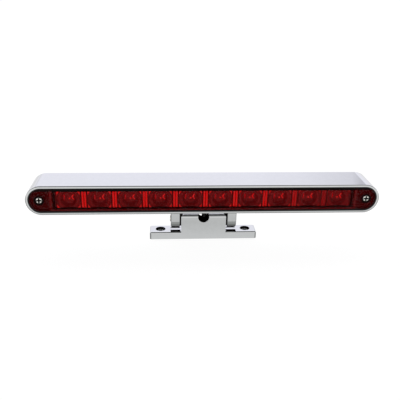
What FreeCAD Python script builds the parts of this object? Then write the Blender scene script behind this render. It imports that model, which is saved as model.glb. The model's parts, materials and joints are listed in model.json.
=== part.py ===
"""Third brake light: a slim red LED lamp in a chrome housing that tilts on a two-screw chrome pedestal.

Millimetres. X runs along the lamp, the lens faces -Y and +Z is up. The origin is the centre of the
pedestal foot's underside, which is the face that is screwed down to the vehicle.
"""

import FreeCAD, Part
import os
from math import radians, tan

os.makedirs("parts", exist_ok=True)

# ---- driving dimensions ----------------------------------------------------------------------

# light bar
BAR_LENGTH = 228.6
BAR_HEIGHT = 19.7
BAR_DEPTH = 25.4
BAR_WALL = 1.6
BAR_BACK_WALL = 1.8
BAR_FRONT_EDGE = 0.65
BAR_BACK_EDGE = 1.0
BAR_LIP_EDGE = 0.2

# pedestal
FOOT_LENGTH = 73.0
FOOT_DEPTH = 11.46
FOOT_THICK = 5.1
FOOT_HOLE_SPACING = 58.4
FOOT_HOLE_DIA = 4.5
FOOT_SINK_DIA = 6.8
FOOT_TOP_EDGE = 0.9
FOOT_CORNER = 1.2
BLOCK_WIDTH = 30.4
BLOCK_TOP = 17.75
BLOCK_EDGE = 1.8
NOTCH_RADIUS = 3.7
NOTCH_Z = 16.1
NOTCH_EDGE = 0.25
WELL_FRONT_WALL = 2.5
WELL_BACK_WALL = 2.3
CAST_EDGE = 0.5

# tilt hinge: its axis runs along X through (0, HINGE_Z)
HINGE_Z = 13.25
HINGE_TO_BAR_UNDERSIDE = 11.05
HINGE_BEHIND_BAR_FRONT = 18.03
LUG_INNER_X = 16.1
LUG_THICK = 6.1
LUG_DEPTH = 13.0
RUNNING_GAP = 0.05
PIVOT_SHANK_DIA = 3.0
PIVOT_SHANK_LENGTH = 13.0
PIVOT_HEAD_DIA = 4.6
PIVOT_HEAD_HEIGHT = 1.7
PIVOT_HEAD_PROUD = 0.5
PIVOT_HEAD_CLEARANCE = 0.3
WASHER_DIA = 10.6

# lamp: depths are measured back from the bar's front face
LENS_GAP = 0.7
LENS_FRONT = 0.3
LENS_INNER_FACE = 1.7
LENS_BACK = 6.0
LENS_WALL = 1.3
LENS_EDGE = 0.3
END_RIB_X = 98.5
END_RIB_THICK = 1.5
END_RIB_BACK = 4.0
GASKET_FRONT = 0.45
GASKET_BACK = 4.5
CASE_BACK = 14.0
CASE_WALL = 1.4
LED_COUNT = 10
LED_PITCH = 19.44
BAND_HEIGHT = 11.4
OPTIC_RADIUS = 8.2
OPTIC_NECK_RADIUS = 2.6
OPTIC_PLATE = 1.2
OPTIC_BACK = 6.6
CELL_RIB_WIDTH = 2.9
BOARD_FRONT = 10.2
BOARD_THICK = 1.2
BOARD_LENGTH = 190.0
BOARD_HEIGHT = 11.4
BOARD_HOLE_DIA = 0.9
STANDOFF_DIA = 2.4
STANDOFF_XS = (-90, -30, 30, 90)
STANDOFF_RISE = 4.0
LED_BODY = 5.2
LED_BODY_HEIGHT = 1.6
LED_DOME_RADIUS = 1.8
LED_TERMINAL_REACH = 0.8
LED_TERMINAL_HEIGHT = 2.4
LED_TERMINAL_THICK = 0.4
RESISTOR_XS = (-70, -50, -14, 16, 50, 70)
RESISTOR_LENGTH = 3.2
RESISTOR_HEIGHT = 1.6
RESISTOR_THICK = 0.55
DIODE_LEFT_X = 7.0
DIODE_LENGTH = 4.3
DIODE_HEIGHT = 2.6
DIODE_THICK = 1.05
DIODE_EDGE = 0.2

# lens screws
LENS_SCREW_X = 105.8
LENS_SCREW_HEAD_DIA = 4.0
LENS_SCREW_HEAD_FRONT = 0.5
LENS_SCREW_HEAD_HEIGHT = 1.6
LENS_SCREW_HEAD_EDGE = 0.4
LENS_SCREW_HEAD_CLEARANCE = 0.5
LENS_SCREW_SHANK_DIA = 2.2
LENS_SCREW_LENGTH = 19.0
SCREW_POST_DIA = 6.5
LENS_POST_DIA = 7.5
SCREW_TIP_ROOM = 0.5
CROSS_WIDTH = 1.1
CROSS_SPAN = 3.4
CROSS_DEPTH = 1.1

# supply leads and the grommet they leave by
LEAD_X = 0.6
LEAD_DIA = 1.5
LEAD_SPACING = 1.8
LEAD_BEND = 2.6
LEAD_END_RISE = 0.3
SEAL_FLANGE = 0.8
GROMMET_NECK_DIA = 6.4
GROMMET_FLANGE_DIA = 7.8
GROMMET_FLANGE = 1.1
GROMMET_SOCKET_DIA = 4.4
NOZZLE_DIA = 3.2
NOZZLE_TAPER_ANGLE = 60
NOZZLE_TIP_Z = 14.6
LEAD_BORE_DIA = 2.0

# ---- worked-out sizes ------------------------------------------------------------------------

BAR_UNDERSIDE_Z = HINGE_Z + HINGE_TO_BAR_UNDERSIDE
BAR_Z = BAR_UNDERSIDE_Z + BAR_HEIGHT / 2
POCKET_LENGTH = BAR_LENGTH - 2 * BAR_WALL
POCKET_HEIGHT = BAR_HEIGHT - 2 * BAR_WALL
LENS_LENGTH = POCKET_LENGTH - 2 * LENS_GAP
LENS_HEIGHT = POCKET_HEIGHT - 2 * LENS_GAP
CASE_FLOOR = CASE_BACK - CASE_WALL
POCKET_BACK = BAR_DEPTH - BAR_BACK_WALL
LUG_OUTER_X = LUG_INNER_X + LUG_THICK
BLOCK_SIDE_X = BLOCK_WIDTH / 2
BOARD_BACK = BOARD_FRONT + BOARD_THICK
PIVOT_HEAD_SEAT_X = LUG_OUTER_X + PIVOT_HEAD_PROUD - PIVOT_HEAD_HEIGHT
PILOT_DIA = LENS_SCREW_SHANK_DIA + 2 * RUNNING_GAP
PIVOT_BORE_DIA = PIVOT_SHANK_DIA + 2 * RUNNING_GAP

# how far a piece runs into its neighbour, where the two are joined into one solid
JOIN = 0.2

X_AXIS = FreeCAD.Vector(1, 0, 0)
Y_AXIS = FreeCAD.Vector(0, 1, 0)
Z_AXIS = FreeCAD.Vector(0, 0, 1)
SIDES = (("left", -1), ("right", 1))


# ---- shapes ----------------------------------------------------------------------------------

def at_depth(depth):
    """The Y of a point that lies depth behind the bar's front face."""
    return depth - HINGE_BEHIND_BAR_FRONT


def point(x, y, z):
    return FreeCAD.Vector(x, y, z)


def box(x0, x1, y0, y1, z0, z1):
    return Part.makeBox(x1 - x0, y1 - y0, z1 - z0, point(x0, y0, z0))


def rod(diameter, start, direction, length):
    return Part.makeCylinder(diameter / 2, length, start, direction)


def rod_along_y(diameter, x, z, depth_from, depth_to):
    return rod(diameter, point(x, at_depth(depth_from), z), Y_AXIS, depth_to - depth_from)


def slot_block(length, height, depth_from, depth_to):
    """A bar with round ends, level with the light bar's axis, between two depths."""
    radius = height / 2
    straight = length / 2 - radius
    y = at_depth(depth_from)
    top = BAR_Z + radius
    low = BAR_Z - radius
    outline = [
        Part.LineSegment(point(-straight, y, top), point(straight, y, top)),
        Part.Arc(point(straight, y, top), point(straight + radius, y, BAR_Z), point(straight, y, low)),
        Part.LineSegment(point(straight, y, low), point(-straight, y, low)),
        Part.Arc(point(-straight, y, low), point(-straight - radius, y, BAR_Z), point(-straight, y, top)),
    ]
    face = Part.Face(Part.Wire([curve.toShape() for curve in outline]))
    return face.extrude(point(0, depth_to - depth_from, 0))


def edges_where(shape, test):
    """The edges whose every vertex, and middle, passes the test."""
    chosen = []
    for edge in shape.Edges:
        middle = edge.valueAt((edge.FirstParameter + edge.LastParameter) / 2)
        if all(test(place) for place in [vertex.Point for vertex in edge.Vertexes] + [middle]):
            chosen.append(edge)
    return chosen


def near(value, target):
    return abs(value - target) < 0.001


def save(name, shape):
    if not shape.isValid():
        raise ValueError(name + " is not a valid shape")
    shape.exportStep("parts/" + name + ".step")


# ---- pedestal body ---------------------------------------------------------------------------

def pedestal():
    """Foot with two sunk holes under a block. A round notch crosses the block's top over a blind well."""
    front = -FOOT_DEPTH / 2
    back = FOOT_DEPTH / 2
    foot = box(-FOOT_LENGTH / 2, FOOT_LENGTH / 2, front, back, 0, FOOT_THICK)
    corners = edges_where(foot, lambda p: near(abs(p.x), FOOT_LENGTH / 2))
    foot = foot.makeFillet(FOOT_CORNER, [edge for edge in corners if near(edge.BoundBox.ZLength, FOOT_THICK)])
    foot = foot.makeFillet(FOOT_TOP_EDGE, edges_where(foot, lambda p: near(p.z, FOOT_THICK)))
    block = box(-BLOCK_SIDE_X, BLOCK_SIDE_X, front, back, 0, BLOCK_TOP)
    block = block.makeFillet(BLOCK_EDGE, edges_where(block, lambda p: near(p.z, BLOCK_TOP)))
    body = foot.fuse(block).removeSplitter()
    body = body.cut(rod(2 * NOTCH_RADIUS, point(0, front, NOTCH_Z), Y_AXIS, FOOT_DEPTH))
    body = body.makeFillet(NOTCH_EDGE, edges_where(body, lambda p: near(p.y, front) and in_notch(p)))
    well_front = front + WELL_FRONT_WALL
    well_back = back - WELL_BACK_WALL
    body = body.cut(box(-NOTCH_RADIUS, NOTCH_RADIUS, well_front, well_back, FOOT_THICK, BLOCK_TOP))
    sink_depth = (FOOT_SINK_DIA - FOOT_HOLE_DIA) / 2
    for _, side in SIDES:
        hole_x = side * FOOT_HOLE_SPACING / 2
        body = body.cut(rod(FOOT_HOLE_DIA, point(hole_x, 0, 0), Z_AXIS, FOOT_THICK))
        sink_start = point(hole_x, 0, FOOT_THICK - sink_depth)
        sink = Part.makeCone(FOOT_HOLE_DIA / 2, FOOT_SINK_DIA / 2, sink_depth, sink_start, Z_AXIS)
        body = body.cut(sink)
        mouth = point(side * BLOCK_SIDE_X, 0, HINGE_Z)
        threaded = PIVOT_SHANK_LENGTH - (PIVOT_HEAD_SEAT_X - BLOCK_SIDE_X)
        body = body.cut(rod(PIVOT_BORE_DIA, mouth, X_AXIS * -side, threaded + SCREW_TIP_ROOM))
    return body.removeSplitter()


def in_notch(place):
    """True on the notch's round edge."""
    return near((place.x ** 2 + (place.z - NOTCH_Z) ** 2) ** 0.5, NOTCH_RADIUS)


def pivot_screw(side):
    """Short screw through a lug into the block's side. Its cross recess faces outwards."""
    seat = point(side * PIVOT_HEAD_SEAT_X, 0, HINGE_Z)
    head = rod(PIVOT_HEAD_DIA, seat, X_AXIS * side, PIVOT_HEAD_HEIGHT)
    outer_x = side * (PIVOT_HEAD_SEAT_X + PIVOT_HEAD_HEIGHT)
    head = head.makeFillet(CAST_EDGE, edges_where(head, lambda p: near(p.x, outer_x)))
    shank = rod(PIVOT_SHANK_DIA, seat, X_AXIS * -side, PIVOT_SHANK_LENGTH)
    screw = head.fuse(shank)
    deep = sorted((outer_x, outer_x - side * CROSS_DEPTH))
    half_span = CROSS_SPAN / 2
    half_width = CROSS_WIDTH / 2
    for half_y, half_z in ((half_span, half_width), (half_width, half_span)):
        slot = box(deep[0], deep[1], -half_y, half_y, HINGE_Z - half_z, HINGE_Z + half_z)
        screw = screw.cut(slot)
    return screw.removeSplitter()


def tilt_washer(side):
    """Friction washer between the block and a lug."""
    thick = LUG_INNER_X - BLOCK_SIDE_X - RUNNING_GAP
    start = point(side * BLOCK_SIDE_X, 0, HINGE_Z)
    disc = rod(WASHER_DIA, start, X_AXIS * side, thick)
    return disc.cut(rod(PIVOT_BORE_DIA, start, X_AXIS * side, thick))


# ---- light bar body --------------------------------------------------------------------------

def lug(side):
    """A round-ended lug below the housing, bored for the pivot screw and sunk for its head."""
    radius = LUG_DEPTH / 2
    top = BAR_UNDERSIDE_Z + BAR_WALL / 2
    inner = side * LUG_INNER_X
    outline = [
        Part.LineSegment(point(inner, radius, top), point(inner, -radius, top)),
        Part.LineSegment(point(inner, -radius, top), point(inner, -radius, HINGE_Z)),
        Part.Arc(
            point(inner, -radius, HINGE_Z), point(inner, 0, HINGE_Z - radius), point(inner, radius, HINGE_Z)
        ),
        Part.LineSegment(point(inner, radius, HINGE_Z), point(inner, radius, top)),
    ]
    face = Part.Face(Part.Wire([curve.toShape() for curve in outline]))
    body = face.extrude(point(side * LUG_THICK, 0, 0))
    outlines = [edge for edge in body.Edges if near(edge.BoundBox.XLength, 0)]
    flanks = [edge for edge in outlines if not near(edge.BoundBox.ZLength, 0)]
    return body.makeFillet(CAST_EDGE, flanks)


def lug_bores(side):
    """What the pivot screw needs cut out of its lug: a running bore and a pocket for the head."""
    bore = rod(PIVOT_BORE_DIA, point(side * LUG_INNER_X, 0, HINGE_Z), X_AXIS * side, LUG_THICK)
    pocket_start = point(side * (PIVOT_HEAD_SEAT_X - RUNNING_GAP), 0, HINGE_Z)
    pocket = rod(PIVOT_HEAD_DIA + 2 * PIVOT_HEAD_CLEARANCE, pocket_start, X_AXIS * side, PIVOT_HEAD_HEIGHT)
    return bore.fuse(pocket)


def housing():
    """Chrome shell, open at the front, with two lugs below and a screw post at each end inside."""
    shell = slot_block(BAR_LENGTH, BAR_HEIGHT, 0, BAR_DEPTH)
    shell = shell.makeFillet(BAR_FRONT_EDGE, edges_where(shell, lambda p: near(p.y, at_depth(0))))
    shell = shell.makeFillet(BAR_BACK_EDGE, edges_where(shell, lambda p: near(p.y, at_depth(BAR_DEPTH))))
    for _, side in SIDES:
        shell = shell.fuse(lug(side))
    shell = shell.cut(slot_block(POCKET_LENGTH, POCKET_HEIGHT, 0, POCKET_BACK))
    shell = shell.makeFillet(BAR_LIP_EDGE, edges_where(shell, on_pocket_lip))
    screw_end = LENS_SCREW_HEAD_FRONT + LENS_SCREW_HEAD_HEIGHT + LENS_SCREW_LENGTH
    for _, side in SIDES:
        post_x = side * LENS_SCREW_X
        shell = shell.fuse(rod_along_y(SCREW_POST_DIA, post_x, BAR_Z, CASE_BACK, POCKET_BACK + JOIN))
        shell = shell.cut(rod_along_y(PILOT_DIA, post_x, BAR_Z, CASE_BACK, screw_end + SCREW_TIP_ROOM))
        shell = shell.cut(lug_bores(side))
    lead_hole = rod(GROMMET_NECK_DIA, point(LEAD_X, 0, BAR_UNDERSIDE_Z), Z_AXIS, BAR_WALL)
    return shell.cut(lead_hole).removeSplitter()


def on_pocket_lip(place):
    """True on the edge where the housing's front face meets its pocket."""
    inside_x = abs(place.x) <= POCKET_LENGTH / 2 + JOIN
    inside_z = abs(place.z - BAR_Z) <= POCKET_HEIGHT / 2 + JOIN
    return near(place.y, at_depth(0)) and inside_x and inside_z


def lens():
    """Red lens with a skirt, an inner rib near each end, and a sunk hole for each lens screw."""
    body = slot_block(LENS_LENGTH, LENS_HEIGHT, LENS_FRONT, LENS_BACK)
    body = body.makeFillet(LENS_EDGE, edges_where(body, lambda p: near(p.y, at_depth(LENS_FRONT))))
    inside_length = LENS_LENGTH - 2 * LENS_WALL
    inside_height = LENS_HEIGHT - 2 * LENS_WALL
    body = body.cut(slot_block(inside_length, inside_height, LENS_INNER_FACE, LENS_BACK))
    half = inside_height / 2 + JOIN
    rib_front = LENS_INNER_FACE - JOIN
    head_seat = LENS_SCREW_HEAD_FRONT + LENS_SCREW_HEAD_HEIGHT
    sunk_dia = LENS_SCREW_HEAD_DIA + 2 * LENS_SCREW_HEAD_CLEARANCE
    for _, side in SIDES:
        rib_x = side * END_RIB_X
        rib = box(
            rib_x - END_RIB_THICK / 2, rib_x + END_RIB_THICK / 2,
            at_depth(rib_front), at_depth(END_RIB_BACK), BAR_Z - half, BAR_Z + half,
        )
        body = body.fuse(rib)
        screw_x = side * LENS_SCREW_X
        body = body.fuse(rod_along_y(LENS_POST_DIA, screw_x, BAR_Z, rib_front, LENS_BACK))
        body = body.cut(rod_along_y(sunk_dia, screw_x, BAR_Z, LENS_FRONT, head_seat))
        body = body.cut(rod_along_y(PILOT_DIA, screw_x, BAR_Z, LENS_FRONT, LENS_BACK))
    return body.removeSplitter()


def lens_gasket():
    """Black rubber band that fills the gap between the lens and the housing's lip."""
    band = slot_block(POCKET_LENGTH, POCKET_HEIGHT, GASKET_FRONT, GASKET_BACK)
    return band.cut(slot_block(LENS_LENGTH, LENS_HEIGHT, GASKET_FRONT, GASKET_BACK))


def lens_screw(side):
    """Pan-head screw through the lens and the lamp case into the housing's post."""
    x = side * LENS_SCREW_X
    seat = LENS_SCREW_HEAD_FRONT + LENS_SCREW_HEAD_HEIGHT
    head = rod_along_y(LENS_SCREW_HEAD_DIA, x, BAR_Z, LENS_SCREW_HEAD_FRONT, seat)
    front = at_depth(LENS_SCREW_HEAD_FRONT)
    head = head.makeFillet(LENS_SCREW_HEAD_EDGE, edges_where(head, lambda p: near(p.y, front)))
    screw = head.fuse(rod_along_y(LENS_SCREW_SHANK_DIA, x, BAR_Z, seat, seat + LENS_SCREW_LENGTH))
    half_span = CROSS_SPAN / 2
    half_width = CROSS_WIDTH / 2
    for half_x, half_z in ((half_span, half_width), (half_width, half_span)):
        slot = box(x - half_x, x + half_x, front, front + CROSS_DEPTH, BAR_Z - half_z, BAR_Z + half_z)
        screw = screw.cut(slot)
    return screw.removeSplitter()


def cell_centres():
    first = -(LED_COUNT - 1) / 2 * LED_PITCH
    return [first + index * LED_PITCH for index in range(LED_COUNT)]


def optic_strip():
    """Inner optic: a plate with a rib between cells and a light-gathering cone behind each cell."""
    half_length = LED_COUNT * LED_PITCH / 2
    low = BAR_Z - BAND_HEIGHT / 2
    high = BAR_Z + BAND_HEIGHT / 2
    front = LENS_INNER_FACE + RUNNING_GAP
    plate_front = front + OPTIC_PLATE
    plate_back = plate_front + OPTIC_PLATE
    band = box(-half_length, half_length, at_depth(front), at_depth(OPTIC_BACK), low, high)
    strip = box(-half_length, half_length, at_depth(plate_front), at_depth(plate_back), low, high)
    half_rib = CELL_RIB_WIDTH / 2
    for boundary in range(1, LED_COUNT):
        rib_x = -half_length + boundary * LED_PITCH
        rib = box(rib_x - half_rib, rib_x + half_rib, at_depth(front), at_depth(plate_back), low, high)
        strip = strip.fuse(rib)
    pillow_radius = (OPTIC_RADIUS ** 2 + OPTIC_PLATE ** 2) / (2 * OPTIC_PLATE)
    for x in cell_centres():
        cone_start = point(x, at_depth(plate_back), BAR_Z)
        cone = Part.makeCone(OPTIC_RADIUS, OPTIC_NECK_RADIUS, OPTIC_BACK - plate_back, cone_start, Y_AXIS)
        strip = strip.fuse(cone.common(band))
        pillow_centre = point(x, at_depth(front) + pillow_radius, BAR_Z)
        pillow = Part.makeSphere(pillow_radius, pillow_centre)
        front_slice = box(
            x - OPTIC_RADIUS, x + OPTIC_RADIUS,
            at_depth(front), at_depth(plate_front + JOIN), low, high,
        )
        strip = strip.fuse(pillow.common(front_slice))
    return strip.removeSplitter()


def lamp_case():
    """Black tray that closes the back of the lens, with stand-offs for the board."""
    body = slot_block(LENS_LENGTH, LENS_HEIGHT, LENS_BACK, CASE_BACK)
    inside_length = LENS_LENGTH - 2 * CASE_WALL
    inside_height = LENS_HEIGHT - 2 * CASE_WALL
    body = body.cut(slot_block(inside_length, inside_height, LENS_BACK, CASE_FLOOR))
    for x in STANDOFF_XS:
        for rise in (-STANDOFF_RISE, STANDOFF_RISE):
            body = body.fuse(rod_along_y(STANDOFF_DIA, x, BAR_Z + rise, BOARD_BACK, CASE_FLOOR + JOIN))
    for _, side in SIDES:
        screw_x = side * LENS_SCREW_X
        body = body.fuse(rod_along_y(SCREW_POST_DIA, screw_x, BAR_Z, LENS_BACK, CASE_FLOOR + JOIN))
        body = body.cut(rod_along_y(PILOT_DIA, screw_x, BAR_Z, LENS_BACK, CASE_BACK))
    body = body.cut(rod_along_y(GROMMET_NECK_DIA, LEAD_X, BAR_Z, CASE_FLOOR, CASE_BACK))
    return body.removeSplitter()


def circuit_board():
    """Long board with a pair of lead holes at its middle."""
    half_length = BOARD_LENGTH / 2
    low = BAR_Z - BOARD_HEIGHT / 2
    high = BAR_Z + BOARD_HEIGHT / 2
    board = box(-half_length, half_length, at_depth(BOARD_FRONT), at_depth(BOARD_BACK), low, high)
    for _, side in SIDES:
        hole_x = LEAD_X + side * LEAD_SPACING / 2
        board = board.cut(rod_along_y(BOARD_HOLE_DIA, hole_x, BAR_Z, BOARD_FRONT, BOARD_BACK))
    return board


def led(x):
    """Surface-mount LED: a square body, a round dome and a terminal on each side."""
    half = LED_BODY / 2
    front = BOARD_FRONT - LED_BODY_HEIGHT
    body = box(x - half, x + half, at_depth(front), at_depth(BOARD_FRONT), BAR_Z - half, BAR_Z + half)
    dome = Part.makeSphere(LED_DOME_RADIUS, point(x, at_depth(front), BAR_Z), Y_AXIS * -1, 0, 90, 360)
    package = body.fuse(dome)
    for _, side in SIDES:
        inner_x = x + side * (half - JOIN)
        outer_x = x + side * (half + LED_TERMINAL_REACH)
        low_x, high_x = sorted((inner_x, outer_x))
        low = BAR_Z - LED_TERMINAL_HEIGHT / 2
        high = BAR_Z + LED_TERMINAL_HEIGHT / 2
        terminal_front = at_depth(BOARD_FRONT - LED_TERMINAL_THICK)
        terminal = box(low_x, high_x, terminal_front, at_depth(BOARD_FRONT), low, high)
        package = package.fuse(terminal)
    return package.removeSplitter()


def resistors():
    """Current-limiting resistors in a row on the board's back."""
    half = RESISTOR_LENGTH / 2
    low = BAR_Z - RESISTOR_HEIGHT / 2
    high = BAR_Z + RESISTOR_HEIGHT / 2
    back = at_depth(BOARD_BACK + RESISTOR_THICK)
    bodies = [box(x - half, x + half, at_depth(BOARD_BACK), back, low, high) for x in RESISTOR_XS]
    return Part.makeCompound(bodies)


def polarity_diode():
    """Diode on the board's back that blocks a reversed supply."""
    low = BAR_Z - DIODE_HEIGHT / 2
    high = BAR_Z + DIODE_HEIGHT / 2
    back = at_depth(BOARD_BACK + DIODE_THICK)
    body = box(DIODE_LEFT_X, DIODE_LEFT_X + DIODE_LENGTH, at_depth(BOARD_BACK), back, low, high)
    return body.makeFillet(DIODE_EDGE, edges_where(body, lambda p: near(p.y, back)))


def lead(side):
    """Insulated wire from the board's back, bent down into the grommet's socket."""
    x = LEAD_X + side * LEAD_SPACING / 2
    start = point(x, at_depth(BOARD_BACK), BAR_Z)
    bend_start = point(x, -LEAD_BEND, BAR_Z)
    corner_offset = LEAD_BEND * (1 - 0.5 ** 0.5)
    bend_middle = point(x, -corner_offset, BAR_Z - corner_offset)
    bend_end = point(x, 0, BAR_Z - LEAD_BEND)
    finish = point(x, 0, BAR_UNDERSIDE_Z + LEAD_END_RISE)
    path = Part.Wire([
        Part.LineSegment(start, bend_start).toShape(),
        Part.Arc(bend_start, bend_middle, bend_end).toShape(),
        Part.LineSegment(bend_end, finish).toShape(),
    ])
    section = Part.Wire([Part.Circle(start, Y_AXIS, LEAD_DIA / 2).toShape()])
    return path.makePipeShell([section], True, False)


def lead_seal():
    """Rubber plug that seals the two leads where they leave the lamp case."""
    plug = rod_along_y(GROMMET_NECK_DIA, LEAD_X, BAR_Z, CASE_FLOOR, CASE_BACK)
    plug = plug.fuse(rod_along_y(GROMMET_FLANGE_DIA, LEAD_X, BAR_Z, CASE_BACK, CASE_BACK + SEAL_FLANGE))
    for _, side in SIDES:
        hole_x = LEAD_X + side * LEAD_SPACING / 2
        plug = plug.cut(rod_along_y(LEAD_DIA, hole_x, BAR_Z, CASE_FLOOR, CASE_BACK + SEAL_FLANGE))
    return plug.removeSplitter()


def grommet():
    """Rubber grommet in the housing's underside. Its nozzle hangs into the notch and guides the lead."""
    wall_low = BAR_UNDERSIDE_Z
    wall_high = BAR_UNDERSIDE_Z + BAR_WALL
    flange_low = wall_low - GROMMET_FLANGE
    taper_height = (GROMMET_NECK_DIA - NOZZLE_DIA) / 2 * tan(radians(NOZZLE_TAPER_ANGLE))
    taper_low = flange_low - taper_height
    body = rod(GROMMET_NECK_DIA, point(LEAD_X, 0, wall_low), Z_AXIS, BAR_WALL)
    body = body.fuse(rod(GROMMET_FLANGE_DIA, point(LEAD_X, 0, wall_high), Z_AXIS, GROMMET_FLANGE))
    body = body.fuse(rod(GROMMET_FLANGE_DIA, point(LEAD_X, 0, flange_low), Z_AXIS, GROMMET_FLANGE))
    taper_start = point(LEAD_X, 0, taper_low)
    body = body.fuse(Part.makeCone(NOZZLE_DIA / 2, GROMMET_NECK_DIA / 2, taper_height, taper_start, Z_AXIS))
    tip = point(LEAD_X, 0, NOZZLE_TIP_Z)
    body = body.fuse(rod(NOZZLE_DIA, tip, Z_AXIS, taper_low - NOZZLE_TIP_Z)).removeSplitter()
    body = body.cut(rod(LEAD_BORE_DIA, tip, Z_AXIS, wall_low + JOIN - NOZZLE_TIP_Z))
    socket = rod(GROMMET_SOCKET_DIA, point(LEAD_X, 0, wall_low), Z_AXIS, BAR_WALL + GROMMET_FLANGE)
    return body.cut(socket).removeSplitter()


# ---- write every sub-part --------------------------------------------------------------------

save("pedestal", pedestal())
for side_name, side_sign in SIDES:
    save("pivot_screw_" + side_name, pivot_screw(side_sign))
    save("tilt_washer_" + side_name, tilt_washer(side_sign))
    save("lens_screw_" + side_name, lens_screw(side_sign))
save("housing", housing())
save("lens", lens())
save("lens_gasket", lens_gasket())
save("optic_strip", optic_strip())
save("lamp_case", lamp_case())
save("circuit_board", circuit_board())
for number, led_x in enumerate(cell_centres(), start=1):
    save("led_%02d" % number, led(led_x))
save("resistors", resistors())
save("polarity_diode", polarity_diode())
save("lead_seal", lead_seal())
save("lead_positive", lead(-1))
save("lead_negative", lead(1))
save("grommet", grommet())
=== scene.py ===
import bmesh
import bpy
import json
import math
from mathutils import Matrix, Vector


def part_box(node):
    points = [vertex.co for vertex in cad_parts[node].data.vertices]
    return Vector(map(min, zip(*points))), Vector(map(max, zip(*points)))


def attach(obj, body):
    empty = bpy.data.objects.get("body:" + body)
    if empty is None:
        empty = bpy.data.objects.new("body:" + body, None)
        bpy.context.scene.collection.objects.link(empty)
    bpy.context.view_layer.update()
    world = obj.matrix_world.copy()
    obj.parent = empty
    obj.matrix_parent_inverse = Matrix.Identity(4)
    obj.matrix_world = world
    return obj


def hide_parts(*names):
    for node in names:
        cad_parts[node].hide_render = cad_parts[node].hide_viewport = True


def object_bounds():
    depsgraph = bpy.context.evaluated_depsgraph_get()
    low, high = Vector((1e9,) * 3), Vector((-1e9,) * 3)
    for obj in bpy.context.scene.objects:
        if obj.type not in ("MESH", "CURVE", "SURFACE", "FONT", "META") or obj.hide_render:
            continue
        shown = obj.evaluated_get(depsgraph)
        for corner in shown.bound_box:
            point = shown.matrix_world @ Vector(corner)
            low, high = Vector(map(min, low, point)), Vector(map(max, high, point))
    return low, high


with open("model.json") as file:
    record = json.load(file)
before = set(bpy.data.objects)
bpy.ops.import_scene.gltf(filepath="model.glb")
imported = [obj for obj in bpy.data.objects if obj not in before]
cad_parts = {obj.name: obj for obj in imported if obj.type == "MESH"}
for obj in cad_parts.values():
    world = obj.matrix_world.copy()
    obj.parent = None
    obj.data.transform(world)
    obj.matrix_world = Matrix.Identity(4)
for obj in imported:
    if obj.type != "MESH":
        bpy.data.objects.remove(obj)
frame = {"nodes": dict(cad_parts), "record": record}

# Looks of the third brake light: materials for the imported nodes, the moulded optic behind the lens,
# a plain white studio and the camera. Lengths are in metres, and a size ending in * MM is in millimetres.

cad_low, cad_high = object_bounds()

MM = 0.001
NODES = frame["nodes"]
RECORD = frame["record"]


# ---- places taken from the frame -------------------------------------------------------------

housing_low, housing_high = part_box("housing")
lens_low, lens_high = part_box("lens")
optic_low, optic_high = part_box("optic_strip")
screw_low, screw_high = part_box("lens_screw_right")
pivot_low, pivot_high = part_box("pivot_screw_right")
pedestal_low, pedestal_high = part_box("pedestal")
BAR_FRONT = housing_low.y
BAR_Z = (lens_low.z + lens_high.z) / 2
SCREW_X = (screw_low.x + screw_high.x) / 2
LED_NODES = sorted(name for name in NODES if name.startswith("led_"))
CELL_COUNT = len(LED_NODES)
CELL_PITCH = (optic_high.x - optic_low.x) / CELL_COUNT
CELL_CENTRES = [optic_low.x + (index + 0.5) * CELL_PITCH for index in range(CELL_COUNT)]
BAND_HALF = (optic_high.z - optic_low.z) / 2
OPTIC_FRONT = optic_low.y
LENS_HALF_HEIGHT_MM = (lens_high.z - lens_low.z) / 2 / MM


# ---- node helpers ----------------------------------------------------------------------------

def new_material(name):
    """A material with an empty node tree."""
    material = bpy.data.materials.new(name)
    material.use_nodes = True
    tree = material.node_tree
    tree.nodes.clear()
    return material, tree


def add(tree, kind, **values):
    """A node of that kind. Keys that name an input set the socket, and the others set the node."""
    node = tree.nodes.new(kind)
    for key, value in values.items():
        socket_name = key.replace("_", " ")
        if socket_name in node.inputs:
            node.inputs[socket_name].default_value = value
        else:
            setattr(node, key, value)
    return node


def link(tree, source, target):
    """Joins an output to an input."""
    tree.links.new(source, target)


def position_mm(tree):
    """The surface's place in millimetres, from its own coordinates."""
    coordinates = add(tree, "ShaderNodeTexCoord")
    scale = add(tree, "ShaderNodeVectorMath", operation="SCALE")
    scale.inputs["Scale"].default_value = 1 / MM
    link(tree, coordinates.outputs["Object"], scale.inputs[0])
    return scale.outputs["Vector"]


def math_node(tree, operation, first, second=None, third=None):
    """The result of an operation on up to three values, each a number or an output."""
    node = add(tree, "ShaderNodeMath", operation=operation)
    for socket, value in zip(node.inputs, (first, second, third)):
        if value is None:
            continue
        if isinstance(value, (int, float)):
            socket.default_value = value
        else:
            link(tree, value, socket)
    return node.outputs["Value"]


def axes(tree, place):
    """The three coordinates of a place."""
    split = add(tree, "ShaderNodeSeparateXYZ")
    link(tree, place, split.inputs["Vector"])
    return split.outputs["X"], split.outputs["Y"], split.outputs["Z"]


def within(tree, value, low, high):
    """1 where the value lies between two limits, and 0 elsewhere."""
    above = math_node(tree, "GREATER_THAN", value, low)
    below = math_node(tree, "LESS_THAN", value, high)
    return math_node(tree, "MULTIPLY", above, below)


def distance(tree, first, second):
    """The length of the sloping side of a right triangle."""
    squares = math_node(tree, "MULTIPLY_ADD", first, first, math_node(tree, "MULTIPLY", second, second))
    return math_node(tree, "SQRT", squares)


def mix(tree, share, first, second):
    """The first shader, with that share of the second over it."""
    node = add(tree, "ShaderNodeMixShader")
    link(tree, share, node.inputs["Fac"])
    link(tree, first, node.inputs[1])
    link(tree, second, node.inputs[2])
    return node.outputs["Shader"]


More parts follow.
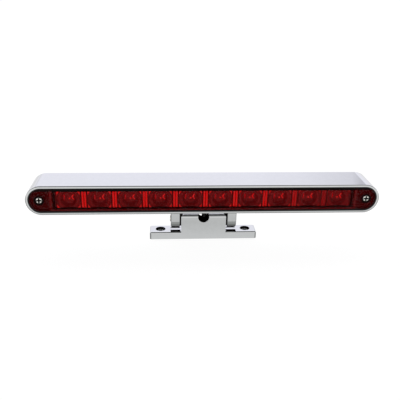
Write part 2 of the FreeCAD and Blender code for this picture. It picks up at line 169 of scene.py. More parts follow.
def noise(tree, place, scale, detail=3.0):
    """Noise at that many features per millimetre."""
    texture = add(tree, "ShaderNodeTexNoise", Scale=scale, Detail=detail)
    link(tree, place, texture.inputs["Vector"])
    return texture.outputs["Fac"]


def ramp(tree, factor, *stops):
    """Colours against a factor. A stop is (place, grey or colour)."""
    node = add(tree, "ShaderNodeValToRGB")
    elements = node.color_ramp.elements
    while len(elements) < len(stops):
        elements.new(0.5)
    for element, (place, colour) in zip(elements, stops):
        element.position = place
        grey = isinstance(colour, (int, float))
        element.color = (colour,) * 3 + (1,) if grey else tuple(colour) + (1,)
    link(tree, factor, node.inputs["Fac"])
    return node.outputs["Color"]


def bump(tree, height, strength, distance_mm):
    """A normal bent by a height, for a full step of that many millimetres."""
    node = add(tree, "ShaderNodeBump", Strength=strength, Distance=distance_mm * MM)
    link(tree, height, node.inputs["Height"])
    return node.outputs["Normal"]


def finish_surface(tree, shader):
    """Makes a shader the material's surface."""
    output = add(tree, "ShaderNodeOutputMaterial")
    link(tree, shader, output.inputs["Surface"])


# ---- materials -------------------------------------------------------------------------------

CHROME_TONE = (0.550, 0.556, 0.560)
BLACK = (0.004, 0.004, 0.004)

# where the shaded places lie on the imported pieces, in millimetres
SKIN_MM = 0.1
CREASE_DEPTH_MM = 0.55
CREASE_DROP_MM = 0.5
NOTCH_HALF_MM = 3.72
NOTCH_EDGE_MM = 0.3
FOOT_TOP_MM = 5.1
LUG_SPAN_MM = (15.6, 22.4)
LUG_SHADE_MM = (-5.2, -1.6)
LUG_LINE_MM = (0.9, 2.0)
FOOT_HOLE_X_MM = 29.2
SINK_RADIUS_MM = 3.38
SINK_SHADE_FROM_MM = -0.4
SINK_DEPTHS_MM = (3.9, 5.07)
RECESS_RADIUS_MM = 1.72
HEAD_EDGE_MM = 0.45
LENS_WALL_MM = 1.3
SKIRT_EDGE_MM = 0.5
LOW_EDGE_MM = 0.45
END_RIB_MM = 98.5
END_RIB_HALF_MM = 0.75
SCREW_SHADE_RADIUS_MM = 3.2

# how strong the painted shade, the painted light on the lens's lower skirt or the extra red is in those
# places
CREASE_SHADE = 0.35
LENS_SHADE = 0.9
SKIRT_LIGHT_RED = 0.45
RIB_RED = 0.35
END_RED = 0.09


def painted_deep_shade(tree):
    """A surface painted in deep shade, with no shine of its own."""
    shader = add(tree, "ShaderNodeBsdfPrincipled", Base_Color=(0.004, 0.003, 0.003, 1), Roughness=1.0)
    shader.inputs["Specular IOR Level"].default_value = 0.0
    return shader.outputs["BSDF"]


def chrome(name, tone, shade):
    """Mirror chrome over a polished casting: faint haze, a very slight ripple, and painted deep shade where
    told.
    """
    material, tree = new_material(name)
    place = position_mm(tree)
    shader = add(tree, "ShaderNodeBsdfPrincipled", Metallic=1.0)
    haze = noise(tree, place, 0.35, 4.0)
    hazy_tone = tuple(part * 0.97 for part in tone)
    link(tree, ramp(tree, haze, (0.35, hazy_tone), (0.7, tone)), shader.inputs["Base Color"])
    link(tree, ramp(tree, haze, (0.3, 0.015), (0.75, 0.05)), shader.inputs["Roughness"])
    ripple = noise(tree, place, 0.09, 1.0)
    link(tree, bump(tree, ripple, 0.02, 1.0), shader.inputs["Normal"])
    shaded = shade(tree, *axes(tree, place))
    finish_surface(tree, mix(tree, shaded, shader.outputs["BSDF"], painted_deep_shade(tree)))
    return material


def in_box(tree, x, y, z, across, along, up):
    """1 inside a box given by its limits in X, Y and Z, and 0 elsewhere."""
    inside = math_node(tree, "MULTIPLY", within(tree, x, *across), within(tree, y, *along))
    return math_node(tree, "MULTIPLY", inside, within(tree, z, *up))


def housing_shade(tree, x, y, z):
    """Painted shade on the rounded edge between the bar's top and its front rim, darker towards the left."""
    reach = (housing_low.x / MM, housing_high.x / MM)
    front = housing_low.y / MM
    top = housing_high.z / MM
    depths = (front - SKIN_MM, front + CREASE_DEPTH_MM)
    heights = (top - CREASE_DROP_MM, top + SKIN_MM)
    edge = in_box(tree, x, y, z, reach, depths, heights)
    along = math_node(tree, "DIVIDE", x, housing_high.x / MM)
    return math_node(tree, "MULTIPLY", edge, ramp(tree, along, (0.2, CREASE_SHADE), (0.65, 0.0)))


def pedestal_shade(tree, x, y, z):
    """Painted shade in the notch and its well, on the foot's top below each lug, and in the sinks of the
    screw holes.
    """
    across = (-NOTCH_HALF_MM, NOTCH_HALF_MM)
    depths = (pedestal_low.y / MM + NOTCH_EDGE_MM, pedestal_high.y / MM - NOTCH_EDGE_MM)
    foot_skin = (FOOT_TOP_MM - SKIN_MM, FOOT_TOP_MM + SKIN_MM)
    notch = in_box(tree, x, y, z, across, depths, (FOOT_TOP_MM - SKIN_MM, pedestal_high.z / MM - SKIN_MM))
    away = math_node(tree, "ABSOLUTE", x)
    wide_band = in_box(tree, away, y, z, LUG_SPAN_MM, LUG_SHADE_MM, foot_skin)
    narrow_band = in_box(tree, away, y, z, LUG_SPAN_MM, LUG_LINE_MM, foot_skin)
    below_lug = math_node(tree, "MAXIMUM", wide_band, narrow_band)
    radius = distance(tree, math_node(tree, "SUBTRACT", away, FOOT_HOLE_X_MM), y)
    rear = math_node(tree, "GREATER_THAN", y, SINK_SHADE_FROM_MM)
    sink = math_node(tree, "MULTIPLY", math_node(tree, "LESS_THAN", radius, SINK_RADIUS_MM), rear)
    sink = math_node(tree, "MULTIPLY", sink, within(tree, z, *SINK_DEPTHS_MM))
    return math_node(tree, "MAXIMUM", notch, math_node(tree, "MAXIMUM", below_lug, sink))


def screw_steel(name, sunk):
    """Bright zinc plate with fine turning marks, and painted shade in the cross recess and on the deeper
    parts.
    """
    material, tree = new_material(name)
    place = position_mm(tree)
    shader = add(tree, "ShaderNodeBsdfPrincipled", Metallic=1.0)
    marks = noise(tree, place, 6.0, 4.0)
    tone = ramp(tree, marks, (0.3, (0.62, 0.60, 0.55)), (0.7, (0.93, 0.91, 0.84)))
    link(tree, tone, shader.inputs["Base Color"])
    link(tree, ramp(tree, marks, (0.3, 0.18), (0.7, 0.34)), shader.inputs["Roughness"])
    link(tree, bump(tree, marks, 0.2, 0.05), shader.inputs["Normal"])
    surface = mix(tree, sunk(tree, *axes(tree, place)), shader.outputs["BSDF"], painted_deep_shade(tree))
    finish_surface(tree, surface)
    return material


def lens_screw_shade(tree, x, y, z):
    """Where a lens screw is painted in shade: its cross recess, and all of the screw that lies deeper than
    its head's edge.
    """
    away = math_node(tree, "SUBTRACT", math_node(tree, "ABSOLUTE", x), SCREW_X / MM)
    radius = distance(tree, away, math_node(tree, "SUBTRACT", z, BAR_Z / MM))
    inside = math_node(tree, "LESS_THAN", radius, RECESS_RADIUS_MM)
    sunk = math_node(tree, "GREATER_THAN", y, screw_low.y / MM + SKIN_MM)
    recess = math_node(tree, "MULTIPLY", inside, sunk)
    deep = math_node(tree, "GREATER_THAN", y, screw_low.y / MM + HEAD_EDGE_MM)
    return math_node(tree, "MAXIMUM", recess, deep)


def pivot_screw_shade(tree, x, y, z):
    """Where a pivot screw is painted in shade: its cross recess, and all of the screw that lies deeper than
    its head's edge.
    """
    radius = distance(tree, y, math_node(tree, "SUBTRACT", z, (pivot_low.z + pivot_high.z) / 2 / MM))
    inside = math_node(tree, "LESS_THAN", radius, RECESS_RADIUS_MM)
    away = math_node(tree, "ABSOLUTE", x)
    sunk = math_node(tree, "LESS_THAN", away, pivot_high.x / MM - SKIN_MM)
    recess = math_node(tree, "MULTIPLY", inside, sunk)
    deep = math_node(tree, "LESS_THAN", away, pivot_high.x / MM - HEAD_EDGE_MM)
    return math_node(tree, "MAXIMUM", recess, deep)


def black_moulding(name, low, high, roughness, grain_scale, grain_depth_mm, shine=0.25):
    """Black rubber or plastic with a fine grain and uneven sheen."""
    material, tree = new_material(name)
    place = position_mm(tree)
    shader = add(tree, "ShaderNodeBsdfPrincipled")
    grain = noise(tree, place, grain_scale, 5.0)
    link(tree, ramp(tree, grain, (0.3, low), (0.7, high)), shader.inputs["Base Color"])
    sheen = ramp(tree, grain, (0.3, roughness - 0.08), (0.7, roughness + 0.08))
    link(tree, sheen, shader.inputs["Roughness"])
    shader.inputs["Specular IOR Level"].default_value = shine
    link(tree, bump(tree, grain, 0.4, grain_depth_mm), shader.inputs["Normal"])
    finish_surface(tree, shader.outputs["BSDF"])
    return material


def red_lens():
    """Clear red moulding: redder through a wall, with painted light on the lower skirt, and painted shade
    round the screws and along its long borders.
    """
    material, tree = new_material("red_lens")
    place = position_mm(tree)
    x, _, z = axes(tree, place)
    normal = add(tree, "ShaderNodeNewGeometry").outputs["True Normal"]
    upright = math_node(tree, "ABSOLUTE", axes(tree, normal)[2])
    away = math_node(tree, "ABSOLUTE", x)
    drop = math_node(tree, "SUBTRACT", BAR_Z / MM, z)
    inner_half = LENS_HALF_HEIGHT_MM - LENS_WALL_MM
    rib_start = END_RIB_MM - END_RIB_HALF_MM
    straight = math_node(tree, "LESS_THAN", away, rib_start)
    end_zone = math_node(tree, "SUBTRACT", 1.0, straight)
    # painted light: the lower skirt is redder where light from above falls on it
    lit_skirt = within(tree, drop, inner_half - SKIN_MM, LENS_HALF_HEIGHT_MM - SKIRT_EDGE_MM)
    lit_skirt = math_node(tree, "MULTIPLY", lit_skirt, straight)
    rib = within(tree, away, rib_start, END_RIB_MM + END_RIB_HALF_MM)
    # painted shade round the screws, on the upper skirt under the housing's lip and along the lowest edge
    screw_radius = distance(tree, math_node(tree, "SUBTRACT", away, SCREW_X / MM), drop)
    near_screw = math_node(tree, "LESS_THAN", screw_radius, SCREW_SHADE_RADIUS_MM)
    under_lip = math_node(tree, "LESS_THAN", drop, -inner_half)
    low_edge = math_node(tree, "GREATER_THAN", drop, LENS_HALF_HEIGHT_MM - LOW_EDGE_MM)
    streaks = noise(tree, place, 0.8, 3.0)
    body = add(tree, "ShaderNodeBsdfPrincipled", Roughness=0.12)
    body.inputs["Specular IOR Level"].default_value = 0.15
    red = ramp(tree, streaks, (0.3, (0.16, 0.002, 0.003)), (0.7, (0.24, 0.004, 0.005)))
    link(tree, red, body.inputs["Base Color"])
    clear = add(tree, "ShaderNodeBsdfTransparent", Color=(0.95, 0.60, 0.60, 1))
    share = ramp(tree, upright, (0.3, 0.035), (0.8, 0.6))
    share = math_node(tree, "MULTIPLY_ADD", lit_skirt, SKIRT_LIGHT_RED, share)
    share = math_node(tree, "MULTIPLY_ADD", rib, RIB_RED, share)
    share = math_node(tree, "MULTIPLY_ADD", end_zone, END_RED, share)
    tinted = mix(tree, share, clear.outputs["BSDF"], body.outputs["BSDF"])
    shaded = math_node(tree, "MAXIMUM", near_screw, under_lip)
    shaded = math_node(tree, "MAXIMUM", shaded, low_edge)
    shaded = math_node(tree, "MULTIPLY", shaded, LENS_SHADE)
    tinted = mix(tree, shaded, tinted, painted_deep_shade(tree))
    gloss = add(tree, "ShaderNodeBsdfGlossy", Roughness=0.04, Color=(1, 0.93, 0.93, 1))
    fresnel = add(tree, "ShaderNodeFresnel", IOR=1.10)
    finish_surface(tree, mix(tree, fresnel.outputs["Fac"], tinted, gloss.outputs["BSDF"]))
    return material


def optic_red(name, dark, bright, roughness, ring_pitch_mm=0.0, glow=0.0):
    """Moulded red optic. With a ring pitch, its tone follows rings round each cell's centre. With a glow, it
    shines with its own colour as painted light.
    """
    material, tree = new_material(name)
    place = position_mm(tree)
    shader = add(tree, "ShaderNodeBsdfPrincipled", Roughness=roughness)
    shader.inputs["Specular IOR Level"].default_value = 0.2
    mottle = noise(tree, place, 0.9, 4.0)
    tone = mottle
    if ring_pitch_mm:
        x, _, z = axes(tree, place)
        pitch = CELL_PITCH / MM
        shifted = math_node(tree, "SUBTRACT", x, optic_low.x / MM)
        wrapped = math_node(tree, "FLOORED_MODULO", shifted, pitch)
        across = math_node(tree, "SUBTRACT", wrapped, pitch / 2)
        up = math_node(tree, "SUBTRACT", z, BAR_Z / MM)
        radius = distance(tree, across, up)
        phase = math_node(tree, "MULTIPLY", radius, 2 * math.pi / ring_pitch_mm)
        wave = math_node(tree, "SINE", phase)
        tone = math_node(tree, "MULTIPLY_ADD", wave, 0.1, mottle)
    colour = ramp(tree, tone, (0.25, dark), (0.8, bright))
    link(tree, colour, shader.inputs["Base Color"])
    if glow:
        link(tree, colour, shader.inputs["Emission Color"])
        shader.inputs["Emission Strength"].default_value = glow
    link(tree, bump(tree, mottle, 0.3, 0.1), shader.inputs["Normal"])
    finish_surface(tree, shader.outputs["BSDF"])
    return material


def painted_falloff_red(name, dim, bright):
    """Red ribs or corners of the moulding, in part their own red and in part painted light that they catch,
    dimmer towards the lamp's right end as painted falloff of light, with a faint painted glow.
    """
    material, tree = new_material(name)
    place = position_mm(tree)
    shader = add(tree, "ShaderNodeBsdfPrincipled", Roughness=0.3)
    shader.inputs["Specular IOR Level"].default_value = 0.2
    along = math_node(tree, "DIVIDE", axes(tree, place)[0], optic_high.x / MM)
    tone = math_node(tree, "MULTIPLY_ADD", noise(tree, place, 0.9, 4.0), 0.1, along)
    colour = ramp(tree, tone, (0.35, bright), (0.85, dim))
    link(tree, colour, shader.inputs["Base Color"])
    link(tree, colour, shader.inputs["Emission Color"])
    shader.inputs["Emission Strength"].default_value = 0.08
    finish_surface(tree, shader.outputs["BSDF"])
    return material


def plain_moulding(name, low, high, roughness):
    """A smooth, evenly coloured moulding with a slight mottle."""
    material, tree = new_material(name)
    place = position_mm(tree)
    shader = add(tree, "ShaderNodeBsdfPrincipled")
    mottle = noise(tree, place, 1.5, 4.0)
    link(tree, ramp(tree, mottle, (0.3, low), (0.7, high)), shader.inputs["Base Color"])
    sheen = ramp(tree, mottle, (0.3, roughness - 0.06), (0.7, roughness + 0.06))
    link(tree, sheen, shader.inputs["Roughness"])
    finish_surface(tree, shader.outputs["BSDF"])
    return material


MATERIALS = {
    "chrome_cast": chrome("chrome_housing", CHROME_TONE, housing_shade),
    "screw_steel": screw_steel("screw_steel", lens_screw_shade),
    "black_nylon": black_moulding("black_nylon", BLACK, (0.008, 0.008, 0.009), 0.6, 3.0, 0.02, shine=0.05),
    "red_lens": red_lens(),
    "black_rubber": black_moulding("black_rubber", BLACK, (0.010, 0.010, 0.011), 0.6, 4.0, 0.03),
    "black_plastic": black_moulding("black_plastic", BLACK, (0.012, 0.010, 0.010), 0.5, 2.0, 0.03),
    "board": plain_moulding("board", (0.01, 0.09, 0.03), (0.02, 0.14, 0.05), 0.4),
    "black_chip": black_moulding("black_chip", (0.01, 0.01, 0.01), (0.03, 0.03, 0.03), 0.5, 4.0, 0.02),
    "led_package": plain_moulding("led_package", (0.70, 0.68, 0.60), (0.86, 0.85, 0.80), 0.3),
    "red_insulation": plain_moulding("red_insulation", (0.40, 0.010, 0.010), (0.52, 0.02, 0.02), 0.4),
    "black_insulation": plain_moulding("black_insulation", BLACK, (0.02, 0.02, 0.02), 0.4),
}

# nodes whose look differs from the rest of their slot
NODE_MATERIALS = {
    "pedestal": chrome("chrome_pedestal", CHROME_TONE, pedestal_shade),
    "pivot_screw_left": screw_steel("pivot_steel", pivot_screw_shade),
}
NODE_MATERIALS["pivot_screw_right"] = NODE_MATERIALS["pivot_screw_left"]


def dress_cad_nodes():
    """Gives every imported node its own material, or else the material of its slot."""
    for part in RECORD["subparts"]:
        material = NODE_MATERIALS.get(part["node"]) or MATERIALS.get(part["material_slot"])
        if material:
            mesh = NODES[part["node"]].data
            mesh.materials.clear()
            mesh.materials.append(material)


# ---- the moulded optic behind the lens -------------------------------------------------------

RING_COUNT = 3
RING_OUTER = 7.95 * MM
RING_INNER = 5.2 * MM
RING_STEP = 0.15 * MM
RING_FILL = 0.92
RING_START_DEPTH = 0.25 * MM
DISH_DEPTH = 0.8 * MM
WELL_RADIUS = 3.7 * MM
WELL_DEPTH = 3.7 * MM
WELL_MIDDLE = 0.01 * MM
CELL_HALF_WIDTH = 7.3 * MM
RIB_HALF_WIDTH = 1.45 * MM
VALLEY_HALF_WIDTH = 0.25 * MM
SLOT_DEPTH = 0.6 * MM
PLATE_CORNER = 14 * MM
RAIL_REACH = 0.8 * MM
RAIL_LEAD = 0.05 * MM
RAIL_LAP = 0.25 * MM
RAIL_CLEARANCE = 0.05 * MM
RAIL_HALF_LENGTH = 97.5 * MM
RIDGE_DEPTH = 0.25 * MM
RIDGE_RISE = 0.2 * MM
VALLEY_DEPTH = 0.3 * MM
# the glints are painted reflections of the LED, glowing pieces set at this depth in each cell
GLINT_DEPTH = 3.1 * MM
GLINT_HALF_WIDTH = 0.40 * MM
GLINT_CROWN = 0.6
GLINT_Z_MM = 0.6
# a stroke's least distance from the cell's middle, its bow and its half height
BRIGHT_STROKE_MM = (1.7, 1.1, 1.8)
DIM_STROKE_MM = (-3.0, 0.2, 1.6)
SPOT_RADIUS = 0.55 * MM
SPOT_X_MM = 0.2
SPOT_DROP_MM = 1.0
END_BLACK_WIDTH = 1.3 * MM
WELD_DISTANCE = 0.0005 * MM
SEGMENTS = 96
STEPS = 8
OPTIC_SLOTS = ("cup", "corner", "rib", "valley", "glint", "dim_glint", "spot", "well", "channel", "black")


def strip(mesh, first, second, slot, smooth=False):
    """A row of faces between two equally long rows of places."""
    for index in range(len(first) - 1):
        corners = (first[index], second[index], second[index + 1], first[index + 1])
        face = mesh.faces.new([mesh.verts.new(place) for place in corners])
        face.material_index = OPTIC_SLOTS.index(slot)
        face.smooth = smooth


def upright_strip(mesh, section, low, high, slot, smooth=False):
    """A section of (x, y) points drawn out from one height to another."""
    strip(mesh, [(x, y, low) for x, y in section], [(x, y, high) for x, y in section], slot, smooth)


def revolve(mesh, centre_x, profile, slot):
    """Turns a profile of (radius, depth) points round a cell's axis."""
    rings = []
    for radius, depth in profile:
        ring = []
        for step in range(SEGMENTS + 1):
            angle = 2 * math.pi * step / SEGMENTS
            x = centre_x + radius * math.cos(angle)
            ring.append((x, OPTIC_FRONT + depth, BAR_Z + radius * math.sin(angle)))
        rings.append(ring)
    for outer, inner in zip(rings, rings[1:]):
        strip(mesh, outer, inner, slot)


def cup_profile():
    """Saw-tooth rings that step down a shallow dish from its edge to the well."""
    profile = []
    width = (RING_OUTER - RING_INNER) / RING_COUNT
    for ring in range(RING_COUNT):
        outer = RING_OUTER - ring * width
        base = RING_START_DEPTH + DISH_DEPTH * ring / RING_COUNT
        profile.append((outer, base))
        profile.append((outer - width * RING_FILL, base + RING_STEP))
    return profile


def trim_cell(mesh, centre_x):
    """Cuts a cell's round pattern down to its window."""
    limits = (
        (Vector((centre_x + CELL_HALF_WIDTH, 0, 0)), Vector((1, 0, 0))),
        (Vector((centre_x - CELL_HALF_WIDTH, 0, 0)), Vector((-1, 0, 0))),
        (Vector((0, 0, BAR_Z + BAND_HALF)), Vector((0, 0, 1))),
        (Vector((0, 0, BAR_Z - BAND_HALF)), Vector((0, 0, -1))),
    )
    for place, normal in limits:
        geometry = mesh.verts[:] + mesh.edges[:] + mesh.faces[:]
        bmesh.ops.bisect_plane(mesh, geom=geometry, plane_co=place, plane_no=normal, clear_outer=True)


def cell_mesh(centre_x):
    """One cell: flat corners painted bright as if lit, the ringed cup and the well at its middle."""
    mesh = bmesh.new()
    rings = cup_profile()
    revolve(mesh, centre_x, [(PLATE_CORNER, 0.0), (RING_OUTER, 0.0)], "corner")
    revolve(mesh, centre_x, [(RING_OUTER, 0.0)] + rings, "cup")
    revolve(mesh, centre_x, [rings[-1], (WELL_RADIUS, WELL_DEPTH), (WELL_MIDDLE, WELL_DEPTH)], "well")
    trim_cell(mesh, centre_x)
    return mesh


def ribbon(mesh, points, half_width, slot):
    """A slender raised strip through points given as (x, y, z), wide across X."""
    left = [(x - half_width, y, z) for x, y, z in points]
    middle = [(x, y - half_width * GLINT_CROWN, z) for x, y, z in points]
    right = [(x + half_width, y, z) for x, y, z in points]
    strip(mesh, left, middle, slot, smooth=True)
    strip(mesh, middle, right, slot, smooth=True)


def stroke(centre_x, nearest, bow, half_height):
    """The route of a glint that bows towards the cell's middle. Sizes are in millimetres."""
    points = []
    side = math.copysign(1, nearest)
    for step in range(STEPS + 1):
        along = 2 * step / STEPS - 1
        x = centre_x + (nearest + side * bow * abs(along)) * MM
        points.append((x, OPTIC_FRONT + GLINT_DEPTH, BAR_Z + (GLINT_Z_MM + half_height * along) * MM))
    return points


def add_glints(mesh, centre_x):
    """Painted reflections of the LED in a cell, as glowing pieces: a stroke on each side and a spot between
    them.
    """
    ribbon(mesh, stroke(centre_x, *BRIGHT_STROKE_MM), GLINT_HALF_WIDTH, "glint")
    ribbon(mesh, stroke(centre_x, *DIM_STROKE_MM), GLINT_HALF_WIDTH, "dim_glint")
    spot = bmesh.ops.create_uvsphere(mesh, u_segments=16, v_segments=8, radius=SPOT_RADIUS)
    spot_z = BAR_Z + (GLINT_Z_MM - SPOT_DROP_MM) * MM
    middle = Vector((centre_x + SPOT_X_MM * MM, OPTIC_FRONT + GLINT_DEPTH, spot_z))
    bmesh.ops.translate(mesh, verts=spot["verts"], vec=middle)
    for face in {face for vertex in spot["verts"] for face in vertex.link_faces}:
        face.material_index = OPTIC_SLOTS.index("spot")
        face.smooth = True


def add_rib(mesh, centre_x, low, high):
    """A double-ridged bar between two cells, with a shallow valley along its middle, painted darker as shade.
    """
    ridge_half = (RIB_HALF_WIDTH - VALLEY_HALF_WIDTH) / 2
    for side in (-1, 1):
        ridge_x = centre_x + side * (VALLEY_HALF_WIDTH + ridge_half)
        section = []
        for step in range(STEPS + 1):
            angle = math.pi * step / STEPS
            depth = RIDGE_DEPTH - RIDGE_RISE * math.sin(angle)
            section.append((ridge_x - ridge_half * math.cos(angle), OPTIC_FRONT + depth))
        upright_strip(mesh, section, low, high, "rib", smooth=True)
    left = centre_x - VALLEY_HALF_WIDTH
    right = centre_x + VALLEY_HALF_WIDTH
    floor_y = OPTIC_FRONT + VALLEY_DEPTH
    floor_left = [(left, floor_y, low), (left, floor_y, high)]
    floor_right = [(right, floor_y, low), (right, floor_y, high)]
    strip(mesh, floor_left, floor_right, "valley")


def add_slot(mesh, left, right, low, high, slot="channel"):
    """A dark channel with a floor and two walls, beside a cell."""
    front = OPTIC_FRONT
    back = OPTIC_FRONT + SLOT_DEPTH
    section = [(left, front), (left, back), (right, back), (right, front)]
    upright_strip(mesh, section, low, high, slot)


def add_rail(mesh, low, high):
    """A closed black bar along the band's upper or lower edge, between the band and the lens's wall."""
    front = OPTIC_FRONT - RAIL_LEAD
    back = OPTIC_FRONT + RAIL_REACH
    corners = [(front, low), (front, high), (back, high), (back, low), (front, low)]
    ends = [[(x, y, z) for y, z in corners] for x in (-RAIL_HALF_LENGTH, RAIL_HALF_LENGTH)]
    strip(mesh, ends[0], ends[1], "black")
    for end in ends:
        face = mesh.faces.new([mesh.verts.new(place) for place in end[:-1]])
        face.material_index = OPTIC_SLOTS.index("black")


def object_from(mesh, name, materials):
    """Welds a mesh, faces it outwards and makes an object of it."""
    bmesh.ops.remove_doubles(mesh, verts=mesh.verts, dist=WELD_DISTANCE)
    bmesh.ops.recalc_face_normals(mesh, faces=mesh.faces)
    data = bpy.data.meshes.new(name)
    mesh.to_mesh(data)
    mesh.free()
    for material in materials:
        data.materials.append(material)
    thing = bpy.data.objects.new(name, data)
    bpy.context.scene.collection.objects.link(thing)
    return thing


def optic_array():
    """The ten cells with the ribs and dark channels between them, in place of the plain CAD strip."""
    cell_data = bpy.data.meshes.new("scratch")
    joined = bmesh.new()
    for centre_x in CELL_CENTRES:
        cell = cell_mesh(centre_x)
        add_glints(cell, centre_x)
        cell.to_mesh(cell_data)
        cell.free()
        joined.from_mesh(cell_data)
    bpy.data.meshes.remove(cell_data)
    low = BAR_Z - BAND_HALF
    high = BAR_Z + BAND_HALF
    slot_edge = CELL_PITCH / 2 - CELL_HALF_WIDTH
    for boundary in range(CELL_COUNT + 1):
        rib_x = optic_low.x + boundary * CELL_PITCH
        if boundary in (0, CELL_COUNT):
            inwards = 1 if boundary == 0 else -1
            black_end = rib_x + inwards * END_BLACK_WIDTH
            add_slot(joined, min(rib_x, black_end), max(rib_x, black_end), low, high, "black")
            edges = ((black_end, rib_x + inwards * slot_edge),)
        else:
            add_rib(joined, rib_x, low, high)
            edges = ((rib_x - slot_edge, rib_x - RIB_HALF_WIDTH), (rib_x + RIB_HALF_WIDTH, rib_x + slot_edge))
        for pair in edges:
            add_slot(joined, min(pair), max(pair), low, high)
    inner_wall = (LENS_HALF_HEIGHT_MM - LENS_WALL_MM) * MM - RAIL_CLEARANCE
    add_rail(joined, BAR_Z - inner_wall, low + RAIL_LAP)
    add_rail(joined, high - RAIL_LAP, BAR_Z + inner_wall)
    materials = [
        optic_red("optic_cup", (0.080, 0.014, 0.018), (0.32, 0.034, 0.042), 0.35, ring_pitch_mm=1.9),
        # painted light: ribs and corners are painted bright, fade towards the right and glow faintly
        painted_falloff_red("optic_corner", (0.26, 0.02, 0.02), (0.88, 0.05, 0.05)),
        painted_falloff_red("optic_rib", (0.29, 0.02, 0.025), (0.90, 0.035, 0.035)),
        # painted shade: the rib's valley is a darker red
        optic_red("optic_valley", (0.30, 0.01, 0.01), (0.40, 0.02, 0.02), 0.4),
        # painted highlights: the LED's reflections glow red, though the lamp is off
        optic_red("optic_glint", (0.60, 0.02, 0.02), (0.85, 0.05, 0.05), 0.25, glow=0.42),
        optic_red("optic_dim_glint", (0.35, 0.01, 0.02), (0.60, 0.03, 0.04), 0.25, glow=0.30),
        optic_red("optic_glint_spot", (0.60, 0.03, 0.03), (0.85, 0.06, 0.05), 0.25, glow=0.45),
        optic_red("optic_well", (0.11, 0.014, 0.018), (0.28, 0.032, 0.040), 0.3),
        optic_red("optic_channel", (0.05, 0.004, 0.007), (0.17, 0.010, 0.016), 0.4),
        black_moulding("optic_black", BLACK, (0.005, 0.006, 0.006), 0.8, 3.0, 0.02, shine=0.1),
    ]
    optic = object_from(joined, "optic_array", materials)
    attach(optic, "light_bar")
    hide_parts("optic_strip")


# ---- studio ----------------------------------------------------------------------------------

FLOOR_HALF = 6.0
FLOOR_DROP = 0.05 * MM
DOME_RADIUS = 5.9
ROOM_STRENGTH = 2.0

# the room's colour by the angle up from straight behind: 90 is overhead, 180 is in front and 270 is below
ROOM = (
    (0, (1.05, 1.05, 1.08)),
    (16, (1.28, 1.28, 1.40)),
    (34, (1.34, 1.34, 1.46)),
    (42, (1.95, 1.95, 2.00)),
    (62, (1.95, 1.95, 2.00)),
    (72, (0.16, 0.17, 0.17)),
    (138, (0.10, 0.11, 0.10)),
    (150, (0.55, 0.55, 0.55)),
    (164, (1.05, 1.05, 1.05)),
    (180, (1.15, 1.15, 1.15)),
    (201, (1.15, 1.16, 1.14)),
    (203.5, (1.00, 1.01, 1.00)),
    (204.6, (0.84, 0.85, 0.85)),
    (205.6, (0.83, 0.84, 0.83)),
    (206.8, (0.97, 0.98, 0.98)),
    (208.5, (0.97, 0.98, 0.98)),
    (211, (0.50, 0.51, 0.50)),
    (238, (0.47, 0.48, 0.47)),
    (242, (0.30, 0.31, 0.30)),
    (290, (0.26, 0.27, 0.26)),
    (297, (0.03, 0.03, 0.03)),
    (328, (0.03, 0.03, 0.03)),
    (344, (0.95, 0.95, 0.97)),
)

# where round the room, by the same angle, the colour changes from side to side: 0 is nowhere and 1 is fully
SIDE_SHARE = ((4, 0.0), (12, 1.0), (72, 1.0), (80, 0.0))

# how much of the colour is left there by how far to the right of the lamp a direction points
SIDEWAYS = (
    (-0.60, 1.00),
    (-0.40, 1.00),
    (-0.375, 0.80),
    (-0.355, 0.99),
    (-0.10, 1.00),
    (0.15, 1.00),
    (0.24, 0.95),
    (0.33, 0.82),
    (0.345, 0.62),
    (0.37, 0.98),
)


def studio_floor():
    """A plain white floor, bright enough that soft shadows on it stay pale."""
    data = bpy.data.meshes.new("floor")
    corners = [(x * FLOOR_HALF, y * FLOOR_HALF, 0) for x, y in ((-1, -1), (1, -1), (1, 1), (-1, 1))]
    data.from_pydata(corners, [], [(0, 1, 2, 3)])
    floor = bpy.data.objects.new("floor", data)
    bpy.context.scene.collection.objects.link(floor)
    floor.location.z = cad_low.z - FLOOR_DROP
    floor.visible_glossy = False
    material, tree = new_material("floor_white")
    glow = add(tree, "ShaderNodeEmission", Color=(1, 1, 1, 1), Strength=0.95)
    matte = add(tree, "ShaderNodeBsdfDiffuse", Color=(0.12, 0.12, 0.12, 1))
    both = add(tree, "ShaderNodeAddShader")
    link(tree, glow.outputs["Emission"], both.inputs[0])
    link(tree, matte.outputs["BSDF"], both.inputs[1])
    finish_surface(tree, both.outputs["Shader"])
    data.materials.append(material)


def studio_backdrop():
    """A plain white dome round the studio. Only the camera sees it, so the room still lights the lamp."""
    mesh = bmesh.new()
    bmesh.ops.create_uvsphere(mesh, u_segments=32, v_segments=16, radius=DOME_RADIUS)
    data = bpy.data.meshes.new("backdrop")
    mesh.to_mesh(data)
    mesh.free()
    backdrop = bpy.data.objects.new("backdrop", data)
    bpy.context.scene.collection.objects.link(backdrop)
    backdrop.visible_diffuse = False
    backdrop.visible_glossy = False
    backdrop.visible_transmission = False
    backdrop.visible_shadow = False
    material, tree = new_material("backdrop_white")
    glow = add(tree, "ShaderNodeEmission", Color=(1, 1, 1, 1), Strength=1.0)
    finish_surface(tree, glow.outputs["Emission"])
    data.materials.append(material)


def ring_stops(stops):
    """Stops given by an angle in degrees, as places from 0 to 1 round the room."""
    return [(degrees / 360, value) for degrees, value in stops]


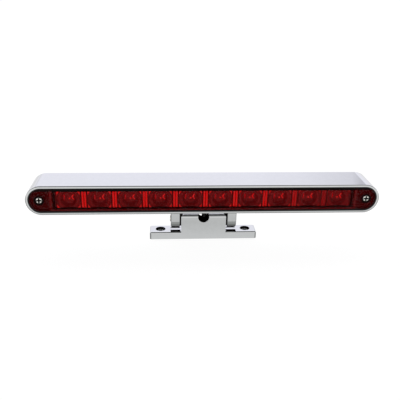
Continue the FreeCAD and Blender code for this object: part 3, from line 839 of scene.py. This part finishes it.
def studio_world():
    """A soft room: brightest high behind the lamp, dark overhead and low down, and pale in front."""
    world = bpy.data.worlds.new("studio")
    bpy.context.scene.world = world
    world.use_nodes = True
    tree = world.node_tree
    tree.nodes.clear()
    coordinates = add(tree, "ShaderNodeTexCoord")
    x, y, z = axes(tree, coordinates.outputs["Generated"])
    turns = math_node(tree, "DIVIDE", math_node(tree, "ARCTAN2", z, y), 2 * math.pi)
    around = math_node(tree, "FLOORED_MODULO", turns, 1.0)
    dimmed = [(degrees, tuple(part / ROOM_STRENGTH for part in colour)) for degrees, colour in ROOM]
    room = ramp(tree, around, *ring_stops(dimmed))
    sideways = math_node(tree, "MULTIPLY_ADD", x, 0.5, 0.5)
    side = ramp(tree, sideways, *[((across + 1) / 2, grey) for across, grey in SIDEWAYS])
    both = add(tree, "ShaderNodeMix", data_type="RGBA", blend_type="MULTIPLY")
    link(tree, ramp(tree, around, *ring_stops(SIDE_SHARE)), both.inputs["Factor"])
    link(tree, room, both.inputs["A"])
    link(tree, side, both.inputs["B"])
    background = add(tree, "ShaderNodeBackground", Strength=ROOM_STRENGTH)
    link(tree, both.outputs["Result"], background.inputs["Color"])
    output = add(tree, "ShaderNodeOutputWorld")
    link(tree, background.outputs["Background"], output.inputs["Surface"])


def studio_camera():
    """A 50 mm lens a little to the left of straight ahead, looking down on the lamp and slightly rolled."""
    elevation = math.radians(22.95)
    turn = math.radians(4.16)
    roll = math.radians(-1.24)
    range_to_aim = 357.2 * MM
    aim_right = -3.68 * MM
    aim_up = -0.10 * MM
    aim = Vector((0, BAR_FRONT, BAR_Z))
    level = math.cos(elevation)
    forward = Vector((math.sin(turn) * level, math.cos(turn) * level, -math.sin(elevation)))
    right = Vector((math.cos(turn), -math.sin(turn), 0))
    up = right.cross(forward)
    camera_right = math.cos(roll) * right - math.sin(roll) * up
    camera_up = math.sin(roll) * right + math.cos(roll) * up
    camera_data = bpy.data.cameras.new("camera")
    camera_data.lens = 49.92
    camera_data.sensor_width = 36.0
    camera_data.clip_start = 0.01
    camera = bpy.data.objects.new("camera", camera_data)
    bpy.context.scene.collection.objects.link(camera)
    matrix = Matrix((camera_right, camera_up, -forward)).transposed().to_4x4()
    matrix.translation = aim + aim_right * right + aim_up * up - range_to_aim * forward
    camera.matrix_world = matrix
    bpy.context.scene.camera = camera


dress_cad_nodes()
optic_array()
studio_floor()
studio_backdrop()
studio_world()
studio_camera()

bpy.context.scene.view_settings.view_transform = "Standard"
